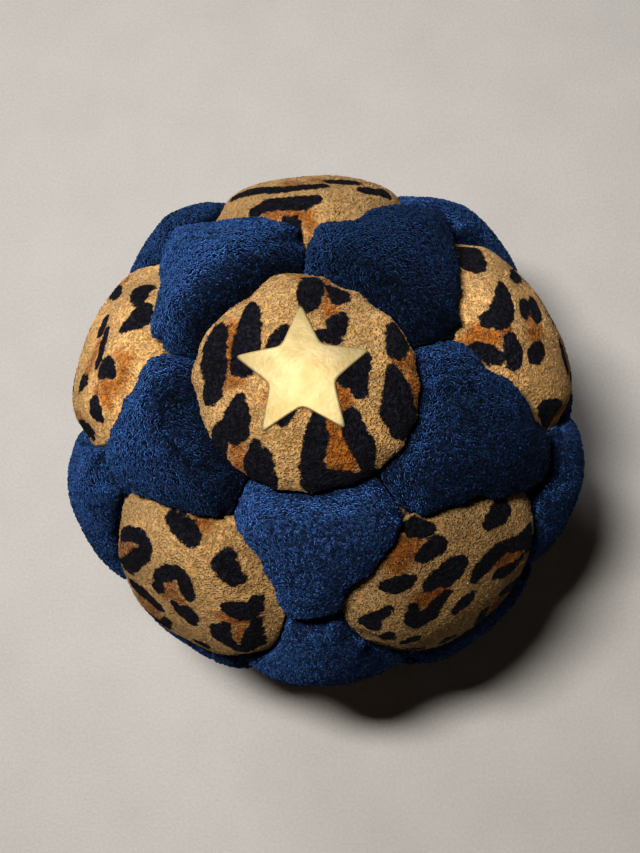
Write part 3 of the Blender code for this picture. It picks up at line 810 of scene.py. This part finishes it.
# Synthetic suede: microfibre cloth with a brushed nap, so it has no gloss, its strands catch the light one by one, and
# it glows a little where it turns away. Painted shade darkens the hollows between the curls and the skin beneath the
# strands, and a painted highlight lightens the curls' ridges. The print is dyed into the nap with ragged edges. Real
# microfibre is about 0.01 mm thick, too fine to show, so its strands and curls are drawn coarser.

LEOPARD_NAP = {"Strand Length": 0.36 * MM, "Strand Width": 0.12 * MM, "Curl": 1.6, "Lift": 0.25,
               "Strands per Square Metre": 8e6}
TAN = "#B1864F", "#C1975F"
TAN_SPECK = "#7E5524"
BROWN_INK = "#7E4414", "#A4601F"
BLACK_INK = "#0C0B10", "#1A1920"
PALE_GLOW = "#E6CDA4"


def start_finish(name):
    """Starts a material: itself, its tree and shader, and its coordinates in millimetres."""
    made = bpy.data.materials.new(name)
    made.use_nodes = True
    tree = made.node_tree
    metres = add(tree, "ShaderNodeTexCoord").outputs["Object"]
    place = add(tree, "ShaderNodeVectorMath", {0: metres, "Scale": 1 / MM}, operation="SCALE")
    return made, tree, tree.nodes["Principled BSDF"], place


def curls(tree, place, size, fullness):
    """Winding ridges like curled fibres about that many millimetres apart, 1 on a ridge and 0 between."""
    drift = add(tree, "ShaderNodeTexNoise", {"Vector": place, "Scale": 0.8 / size, "Detail": 1.0}).outputs["Color"]
    moved = add(tree, "ShaderNodeVectorMath", {0: drift, 1: (size, size, size), 2: place}, operation="MULTIPLY_ADD")
    wave = add(tree, "ShaderNodeTexNoise", {"Vector": moved, "Scale": 1 / size, "Detail": 1.0})
    off = add(tree, "ShaderNodeMath", {0: wave, 1: 0.5}, operation="SUBTRACT")
    away = add(tree, "ShaderNodeMath", {0: off}, operation="ABSOLUTE")
    return add(tree, "ShaderNodeMapRange", {"Value": away, "From Min": fullness, "From Max": 0.0},
               interpolation_type="SMOOTHSTEP")


def finish_suede(tree, shader, place, colour, ridges, gaps, relief, spread, tint):
    """Gives each strand its own lightness, paints shade into the gaps between the curls and beneath the strands and a
    highlight on the curls' ridges, multiplies in each panel's shade (partly nap, partly painted light and shade), and
    gives it its bump, glow and tint.
    """
    strand = add(tree, "ShaderNodeAttribute", attribute_name="strand").outputs["Fac"]
    cloud = add(tree, "ShaderNodeTexNoise", {"Vector": place, "Scale": 1 / 3.5, "Detail": 3.0})
    patches = add(tree, "ShaderNodeMapRange",
                  {"Value": cloud, "From Min": 0.3, "From Max": 0.7, "To Min": 0.86, "To Max": 1.12})
    # Painted shade and highlight: the gaps between the curls darker, their ridges lighter.
    depth = add(tree, "ShaderNodeMapRange", {"Value": ridges, "To Min": gaps, "To Max": 1.25})
    # The skin beneath the strands has no strand lightness, so it is painted darker: painted shade under the strands.
    bright = add(tree, "ShaderNodeMapRange", {"Value": strand, "To Min": 1.1 - spread, "To Max": 1.1 + spread})
    # Each panel's shade: partly its nap, partly painted light and shade.
    lay_and_painted_shade = add(tree, "ShaderNodeAttribute", attribute_name="lay_and_painted_shade").outputs["Fac"]
    over = add(tree, "ShaderNodeMath", {0: depth, 1: bright}, operation="MULTIPLY")
    blotched = add(tree, "ShaderNodeMath", {0: over, 1: patches}, operation="MULTIPLY")
    light = add(tree, "ShaderNodeMath", {0: blotched, 1: lay_and_painted_shade}, operation="MULTIPLY")
    grey = add(tree, "ShaderNodeCombineColor", {0: light, 1: light, 2: light})
    shade = add(tree, "ShaderNodeMix", {0: 1.0, 6: colour, 7: grey}, data_type="RGBA", blend_type="MULTIPLY")
    bump = add(tree, "ShaderNodeBump", {"Height": ridges, "Distance": relief * MM, "Strength": 1.0})
    feed(shader, {"Base Color": shade, "Normal": bump, "Roughness": 0.95, "Specular IOR Level": 0.05,
                  "Sheen Roughness": 0.25, "Sheen Tint": to_linear(tint)})
    return lay_and_painted_shade


def mottle(tree, place, size, colours):
    """One colour drifting into another in blotches of that many millimetres."""
    cloud = add(tree, "ShaderNodeTexNoise", {"Vector": place, "Scale": 1 / size})
    share = add(tree, "ShaderNodeMapRange", {"Value": cloud, "From Min": 0.4, "From Max": 0.65})
    first, second = map(to_linear, colours)
    return add(tree, "ShaderNodeMix", {0: share, 6: first, 7: second}, data_type="RGBA")


def dyed(tree, ground, mark, colour, ragged, soft):
    """Dyes a colour over the ground inside a mark, with an edge as soft as that many millimetres."""
    gap = add(tree, "ShaderNodeAttribute", attribute_name=mark).outputs["Fac"]
    rough = add(tree, "ShaderNodeMath", {0: gap, 1: ragged}, operation="ADD")
    ink = add(tree, "ShaderNodeMapRange", {"Value": rough, "From Min": soft, "From Max": -soft})
    return add(tree, "ShaderNodeMix", {0: ink, 6: ground, 7: colour}, data_type="RGBA"), ink


def leopard_suede():
    """Tan suede with fine specks, and the brown and black marks dyed over it. The black ink dulls its glow."""
    made, tree, shader, place = start_finish("printed_leopard_suede")
    cloud = add(tree, "ShaderNodeTexNoise", {"Vector": place, "Scale": 1 / 0.6, "Detail": 3.0})
    ragged = add(tree, "ShaderNodeMapRange",
                 {"Value": cloud, "From Min": 0.25, "From Max": 0.75, "To Min": -0.2, "To Max": 0.2})
    plain = mottle(tree, place, 0.8, TAN)
    grain = add(tree, "ShaderNodeTexNoise", {"Vector": place, "Scale": 1 / 0.2, "Detail": 1.0})
    speck = add(tree, "ShaderNodeMapRange", {"Value": grain, "From Min": 0.57, "From Max": 0.66, "To Max": 0.5})
    tan = add(tree, "ShaderNodeMix", {0: speck, 6: plain, 7: to_linear(TAN_SPECK)}, data_type="RGBA")
    browned, _ = dyed(tree, tan, "brown_ink", mottle(tree, place, 0.7, BROWN_INK), ragged, soft=0.5)
    printed, black = dyed(tree, browned, "black_ink", mottle(tree, place, 0.4, BLACK_INK), ragged, soft=0.08)
    finish_suede(tree, shader, place, printed, curls(tree, place, 0.36, 0.2), gaps=0.66, relief=0.22, spread=0.1,
                 tint=PALE_GLOW)
    feed(shader, {"Sheen Weight": add(tree, "ShaderNodeMapRange", {"Value": black, "To Min": 0.35, "To Max": 0.0})})
    return made


LEOPARD_SUEDE = leopard_suede()

for name in LEOPARDS:
    points, faces, nap, everywhere = SKINS[f"leopard_{name}"]
    black_ink, brown_ink = lay_print(name, everywhere)
    # Each leopard panel carries its print and its shade, which is partly painted light and shade.
    cover = make_mesh(f"suede_leopard_{name}", points, faces,
                      {"nap": nap, "black_ink": black_ink, "brown_ink": brown_ink,
                       "lay_and_painted_shade": nap_and_painted_shade(f"leopard_{name}", everywhere)})
    run_nodes(cover, NAP, LEOPARD_NAP | {"Seed": ord(name[-1]), "Material": LEOPARD_SUEDE})
    sew_in(cover, f"leopard_panel_{name}")

# The navy panels: 20 six-sided pieces of the same suede, dyed dark blue, with a longer and curlier nap. They hold the
# leopard panels apart and meet each other in the 30 short seams. They stand the proudest and lap over the leopards.

NAVY_NAP = {"Strand Length": 0.5 * MM, "Strand Width": 0.26 * MM, "Curl": 1.7, "Lift": 0.35,
            "Strands per Square Metre": 7e6}
NAVY_DYE = "#121F3B", "#182A49"
BLUE_GLOW = "#4479C8"


def navy_suede():
    """Dark blue suede. Its nap glows a lighter blue, and less where its panel shade, partly painted shade, is dark."""
    made, tree, shader, place = start_finish("navy_suede")
    dye = mottle(tree, place, 1.3, NAVY_DYE)
    lay_and_painted_shade = finish_suede(tree, shader, place, dye, curls(tree, place, 0.34, 0.14), gaps=0.28, relief=0.18, spread=0.55,
                       tint=BLUE_GLOW)
    # The glow weakens with the panel's shade, which is partly painted shade.
    feed(shader, {"Sheen Weight": add(tree, "ShaderNodeMath", {0: lay_and_painted_shade, 1: 0.95}, operation="MULTIPLY",
                                      use_clamp=True)})
    return made


NAVY_SUEDE = navy_suede()

for number, name in enumerate(NAVIES):
    points, faces, nap, everywhere = SKINS[f"navy_{name}"]
    # Each navy panel carries its shade, which is partly painted light and shade.
    cover = make_mesh(f"suede_navy_{name}", points, faces, {"nap": nap, "lay_and_painted_shade": nap_and_painted_shade(f"navy_{name}", everywhere)})
    run_nodes(cover, NAP, NAVY_NAP | {"Seed": number, "Material": NAVY_SUEDE})
    sew_in(cover, f"navy_panel_{name}")

# The foil star: a pale gold transfer film, 0.2 mm thick, heat-pressed on the top leopard panel. It is one plain
# five-pointed star with softened tips, and it follows the panel's crown.

STAR_TIP = 6.4
STAR_NOTCH = 3.0
STAR_SOFTNESS = 0.3
FILM = 0.22
FILM_GAP = 0.1
ABOVE_BALL = 40.0
PALE_GOLD = "#9C8858", "#AE9C70"


def star_outline():
    """Points round the star's edge, with its ten corners a little rounded."""
    corner = np.arange(11)
    reach = np.where(corner % 2, STAR_NOTCH, STAR_TIP)[:, None]
    places = reach * np.stack([np.sin(corner * math.tau / 10), np.cos(corner * math.tau / 10)], 1)
    edge = np.concatenate([np.linspace(a, b, 60)[:-1] for a, b in zip(places, places[1:])])
    step = np.linalg.norm(edge[1] - edge[0])
    return soften(edge, int((STAR_SOFTNESS / step) ** 2 * 4))


def star_skin():
    """The film's face, its rounded edge and its underside, laid on the top panel's crown."""
    points, faces, *_ = SKINS["leopard_top"]
    crown = BVHTree.FromPolygons(points.tolist(), faces.tolist())
    edge = star_outline()
    count = len(edge)
    lifts = [(share, FILM) for share in np.linspace(0.05, 0.955, 24)]
    lifts += [(0.975, FILM * 0.85), (0.99, FILM * 0.55), (0.997, FILM * 0.2), (0.99, 0.0), (0.5, 0.0)]
    laid = []
    for share, lift in [(0, FILM), *lifts, (0, 0.0)]:
        for x, y in edge[:1] if share == 0 else edge:
            hit = crown.ray_cast(Vector((x * share, y * share, ABOVE_BALL)), Vector((0, 0, -1)))[0]
            laid.append((hit.x, hit.y, hit.z + FILM_GAP + lift))
    this = np.arange(count)
    after = (this + 1) % count
    found = [np.stack([np.zeros(count, int), 1 + after, 1 + this], -1)]
    for start in range(1, count * (len(lifts) - 1), count):
        found.append(np.stack([start + this, start + after, start + count + after], -1))
        found.append(np.stack([start + this, start + count + after, start + count + this], -1))
    last = 1 + count * (len(lifts) - 1)
    found.append(np.stack([last + this, last + after, np.full(count, len(laid) - 1)], -1))
    return np.array(laid), np.concatenate(found)


def gold_foil():
    """Pale gold transfer foil: metal, dulled by the suede's nap that shows through it as a fine grain."""
    made, tree, shader, place = start_finish("pale_gold_foil")
    grain = add(tree, "ShaderNodeTexNoise", {"Vector": place, "Scale": 1 / 0.35, "Detail": 2.0})
    wrinkle = add(tree, "ShaderNodeTexNoise", {"Vector": place, "Scale": 1 / 2.5, "Detail": 2.0})
    height = add(tree, "ShaderNodeMath", {0: wrinkle, 1: 3.0, 2: grain}, operation="MULTIPLY_ADD")
    bump = add(tree, "ShaderNodeBump", {"Height": height, "Distance": 0.03 * MM, "Strength": 1.0})
    feed(shader, {"Base Color": mottle(tree, place, 2.5, PALE_GOLD), "Normal": bump, "Metallic": 0.85,
                  "Roughness": 0.6})
    return made


star = make_mesh("foil_star_film", *star_skin(), {})
star.data.materials.append(gold_foil())
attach(star, "root")
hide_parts("foil_star")

# The sewing thread: one waxed navy thread, 0.4 mm thick, that closes all 90 seams from within. It climbs to and fro
# between the two turned-in edges of each seam in a ladder stitch, just under their ends.

THREAD = 0.4
THREAD_PITCH = 1.4
THREAD_SWAY = 0.35
THREAD_RADIUS = SEAM_RADIUS - FOLD_DEPTH - THREAD / 2 - 0.1
THREAD_DYE = "#10203C", "#1E355C"


def bare_points(name, places, edges=()):
    """Points and edges alone, in millimetres round the ball's middle, for a node tree to dress."""
    data = bpy.data.meshes.new(name)
    data.from_pydata((np.array(places) * MM + BALL_MIDDLE).tolist(), edges, [])
    return put_in_scene(name, data)


def ladder_lines():
    """The thread's turning points along every seam, and the stretches between them."""
    places, stretches = [], []
    for _, _, points, _ in SEAMS:
        count = max(3, round(seam_length(points) / THREAD_PITCH) + 1)
        chosen = points[np.linspace(2, len(points) - 3, count).astype(int)]
        across = unit(np.cross(chosen, points[-1] - points[0]))
        sides = np.where(np.arange(count) % 2, 1, -1)[:, None] * across * THREAD_SWAY
        stretches += [(len(places) + k, len(places) + k + 1) for k in range(count - 1)]
        places += list(chosen * THREAD_RADIUS + sides)
    return places, stretches


def stitch_ladders():
    """Turns each seam's line into a round thread, smoothed where it turns back."""
    tree, given = open_nodes("stitch_ladders", [("Thickness", "Float")])
    lines = add(tree, "GeometryNodeMeshToCurve", {0: given["Geometry"]})
    smooth = add(tree, "GeometryNodeCurveSplineType", {0: lines}, spline_type="CATMULL_ROM")
    fine = add(tree, "GeometryNodeSetSplineResolution", {0: smooth, "Resolution": 3})
    half = add(tree, "ShaderNodeMath", {0: given["Thickness"], 1: 2.0}, operation="DIVIDE")
    profile = add(tree, "GeometryNodeCurvePrimitiveCircle", {"Resolution": 8, "Radius": half})
    tube = add(tree, "GeometryNodeCurveToMesh", {0: fine, 1: profile, "Fill Caps": True})
    return close_nodes(tree, tube, given["Material"])


def waxed_thread():
    """Waxed polyester thread: dark blue with a slight waxy gloss, and fine plies along it."""
    made, tree, shader, place = start_finish("waxed_navy_thread")
    plies = add(tree, "ShaderNodeTexWave", {"Vector": place, "Scale": 1 / 0.3, "Distortion": 2.0}).outputs["Fac"]
    first, second = map(to_linear, THREAD_DYE)
    colour = add(tree, "ShaderNodeMix", {0: plies, 6: first, 7: second}, data_type="RGBA")
    bump = add(tree, "ShaderNodeBump", {"Height": plies, "Distance": 0.05 * MM})
    feed(shader, {"Base Color": colour, "Normal": bump, "Roughness": 0.45})
    return made


thread = bare_points("ladder_stitches", *ladder_lines())
run_nodes(thread, stitch_ladders(), {"Thickness": THREAD * MM, "Material": waxed_thread()}).data.shade_smooth()
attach(thread, "root")
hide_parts("seam_thread")

# The filling: loose plastic pellets about 3 mm across, poured in through the last seam. They pack closely, bulge up
# into every panel and leave the thread and the turned-in edges free.

PELLET = 3.0
PELLET_GAP = 0.3
PELLET_SHAKE = 0.12
PELLET_BULGE = 1.2
PELLET_SHAPE = (1.0, 0.9, 0.75)
MILKY = "#CFC9B8", "#E4DFD0"


def pellet_places():
    """A close packing of pellets, shaken a little, wherever the panels leave room."""
    drawn = np.random.RandomState(11)
    layer = PELLET * math.sqrt(2 / 3)
    row = PELLET * math.sqrt(3) / 2
    reach = int(SEAM_RADIUS / PELLET) + 2
    found = []
    for k in range(-reach, reach + 1):
        for j in range(-reach - 1, reach + 2):
            for i in range(-reach - 1, reach + 2):
                x = (i + (j + k) % 2 / 2) * PELLET
                found.append((x, j * row + k % 2 * row / 3, k * layer))
    places = np.array(found) + drawn.uniform(-PELLET_SHAKE, PELLET_SHAKE, (len(found), 3))
    far = np.linalg.norm(places, axis=1)
    within = (far > 0.1) & (far < SEAM_RADIUS)
    places, far = places[within], far[within]
    seams = np.concatenate([points[::3] for _, _, points, _ in SEAMS])
    gap = angle((places / far[:, None]) @ seams.T).min(1) * SEAM_RADIUS
    room = PELLET / 2 + PELLET_GAP
    highest = np.where(gap > SHEET + room, SEAM_RADIUS + PELLET_BULGE - SHEET - room, THREAD_RADIUS - THREAD - room)
    low = places[:, 2] + BALL_MIDDLE[2] / MM < SHEET + room
    return places[(far < highest) & ~low]


def pour_pellets():
    """Sets a short rounded pellet on every point, turned at random."""
    tree, given = open_nodes("pour_pellets", [("Pellet Width", "Float"), ("Seed", "Int")])
    radius = add(tree, "ShaderNodeMath", {0: given["Pellet Width"], 1: 0.48}, operation="MULTIPLY")
    ball = add(tree, "GeometryNodeMeshIcoSphere", {"Radius": radius, "Subdivisions": 2})
    flat = add(tree, "GeometryNodeTransform", {"Geometry": ball, "Scale": PELLET_SHAPE})
    smooth = add(tree, "GeometryNodeSetShadeSmooth", {0: flat})
    turn = add(tree, "FunctionNodeRandomValue",
               {"Min": (0.0, 0.0, 0.0), "Max": (math.tau, math.tau, math.tau), "Seed": given["Seed"]},
               data_type="FLOAT_VECTOR")
    poured = add(tree, "GeometryNodeInstanceOnPoints",
                 {"Points": given["Geometry"], "Instance": smooth, "Rotation": turn})
    return close_nodes(tree, poured, given["Material"])


def pellet_plastic():
    """Milky polyethylene: off-white with dusty blotches, and as dull as a moulded pellet."""
    made, tree, shader, place = start_finish("milky_pellet_plastic")
    feed(shader, {"Base Color": mottle(tree, place, 1.5, MILKY), "Roughness": 0.4})
    return made


pellets = bare_points("pellets", pellet_places())
run_nodes(pellets, pour_pellets(),
          {"Pellet Width": PELLET * MM, "Seed": 4, "Material": pellet_plastic()}).data.shade_smooth()
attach(pellets, "root")
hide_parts("filling")

# The floor is a plain table top with a pale matt coating, sprayed on so that it dries finely pebbled. The lamps stand
# close and light only what lies round the ball, so further out the table looks pale to the camera by itself.

TABLE_HALF = 2
COATING = "#C3BEB8", "#D0CBC5"
ROOM_LIGHT = "#FFFAF2"


def pale_to_camera(tree, strength):
    """That much of pale light, seen by camera, mirror and see-through rays alone."""
    path = add(tree, "ShaderNodeLightPath").outputs
    direct = add(tree, "ShaderNodeMath", {0: path["Is Camera Ray"], 1: path["Is Glossy Ray"]}, operation="MAXIMUM")
    seen = add(tree, "ShaderNodeMath", {0: direct, 1: path["Is Transmission Ray"]}, operation="MAXIMUM")
    return add(tree, "ShaderNodeMath", {0: seen, 1: strength}, operation="MULTIPLY")


def matt_coating():
    """Matt paint: pale grey, hardly glossy, pebbled every 0.35 mm and a little cloudy."""
    made, tree, shader, place = start_finish("matt_table_coating")
    pebbles = add(tree, "ShaderNodeTexNoise", {"Vector": place, "Scale": 1 / 0.35, "Detail": 2.0})
    cloud = add(tree, "ShaderNodeTexNoise", {"Vector": place, "Scale": 1 / 9, "Detail": 2.0})
    mixed = add(tree, "ShaderNodeMath", {0: cloud, 1: 0.6, 2: pebbles}, operation="MULTIPLY_ADD")
    share = add(tree, "ShaderNodeMapRange", {"Value": mixed, "From Min": 0.5, "From Max": 1.1})
    first, second = map(to_linear, COATING)
    colour = add(tree, "ShaderNodeMix", {0: share, 6: first, 7: second}, data_type="RGBA")
    bump = add(tree, "ShaderNodeBump", {"Height": pebbles, "Distance": 0.05 * MM})
    far = add(tree, "ShaderNodeVectorMath", {0: place}, operation="LENGTH").outputs["Value"]
    beyond = add(tree, "ShaderNodeMapRange", {"Value": far, "From Min": 60.0, "From Max": 300.0, "To Max": 0.5},
                 interpolation_type="SMOOTHSTEP")
    feed(shader, {"Base Color": colour, "Normal": bump, "Roughness": 0.8, "Specular IOR Level": 0.2,
                  "Emission Strength": pale_to_camera(tree, beyond), "Emission Color": to_linear(ROOM_LIGHT)})
    return made


floor_data = bpy.data.meshes.new("table_top")
floor_data.from_pydata([(x * TABLE_HALF, y * TABLE_HALF, 0) for x, y in ((-1, -1), (1, -1), (1, 1), (-1, 1))], [],
                       [(0, 1, 2, 3)])
floor_data.materials.append(matt_coating())
floor = put_in_scene("table_top", floor_data)

# The camera looks down on the ball from 78 degrees above the table, turned a little clockwise, as in the photograph.
# It is held 138.5 mm from the middle of the ball, which lies a little right of the picture's middle and below it.

CAMERA_BACK = unit(np.array([0.0712, -0.1959, 0.9780]))
CAMERA_RIGHT = unit(np.array([0.9968, -0.0205, -0.0767]))
CAMERA_UP = np.cross(CAMERA_BACK, CAMERA_RIGHT)
CAMERA_DISTANCE = 138.5
LENS = 54.38


def turned_to(right, up, back):
    """The matrix that turns a camera or a lamp to those axes."""
    return Matrix(np.stack([right, up, back], 1).tolist()).to_4x4()


aim = unit(0.00334 * CAMERA_RIGHT - 0.00365 * CAMERA_UP - CAMERA_BACK)
camera = put_in_scene("camera", bpy.data.cameras.new("camera"))
camera.data.lens = LENS
camera.data.clip_start = 0.01
camera.matrix_world = (Matrix.Translation(BALL_MIDDLE - aim * CAMERA_DISTANCE * MM)
                       @ turned_to(CAMERA_RIGHT, CAMERA_UP, CAMERA_BACK))
bpy.context.scene.camera = camera

# The light: a small soft lamp beside the camera, up and to the left, throws the ball's shadow to the lower right, and a
# wider, weaker one stands low and further off on the same side. The room itself gives next to no light.


def lamp(name, toward, distance, size, power, colour):
    """A soft lamp, as wide and high as size says, that faces the ball from that direction in the camera's axes."""
    made = put_in_scene(name, bpy.data.lights.new(name, "AREA"))
    made.data.shape = "ELLIPSE"
    made.data.size, made.data.size_y = size
    made.data.energy = power
    made.data.color = to_linear(colour)[:3]
    direction = unit(toward[0] * CAMERA_RIGHT + toward[1] * CAMERA_UP + toward[2] * CAMERA_BACK)
    side = unit(CAMERA_RIGHT - (CAMERA_RIGHT @ direction) * direction)
    made.matrix_world = (Matrix.Translation(BALL_MIDDLE + direction * distance)
                         @ turned_to(side, np.cross(direction, side), direction))


lamp("key", toward=(-0.25, 0.235, 0.939), distance=0.2, size=(0.06, 0.025), power=0.47, colour="#FFFDFA")
lamp("side_fill", toward=(-0.5, 0.82, 0.27), distance=0.45, size=(0.12, 0.12), power=0.5, colour="#F6F8FF")

world = bpy.data.worlds.new("room")
world.use_nodes = True
room = world.node_tree
glow = add(room, "ShaderNodeMath", {0: pale_to_camera(room, 0.52), 1: 0.004}, operation="ADD")
feed(room.nodes["Background"], {"Color": to_linear(ROOM_LIGHT), "Strength": glow})
bpy.context.scene.world = world
bpy.context.scene.view_settings.view_transform = "Standard"
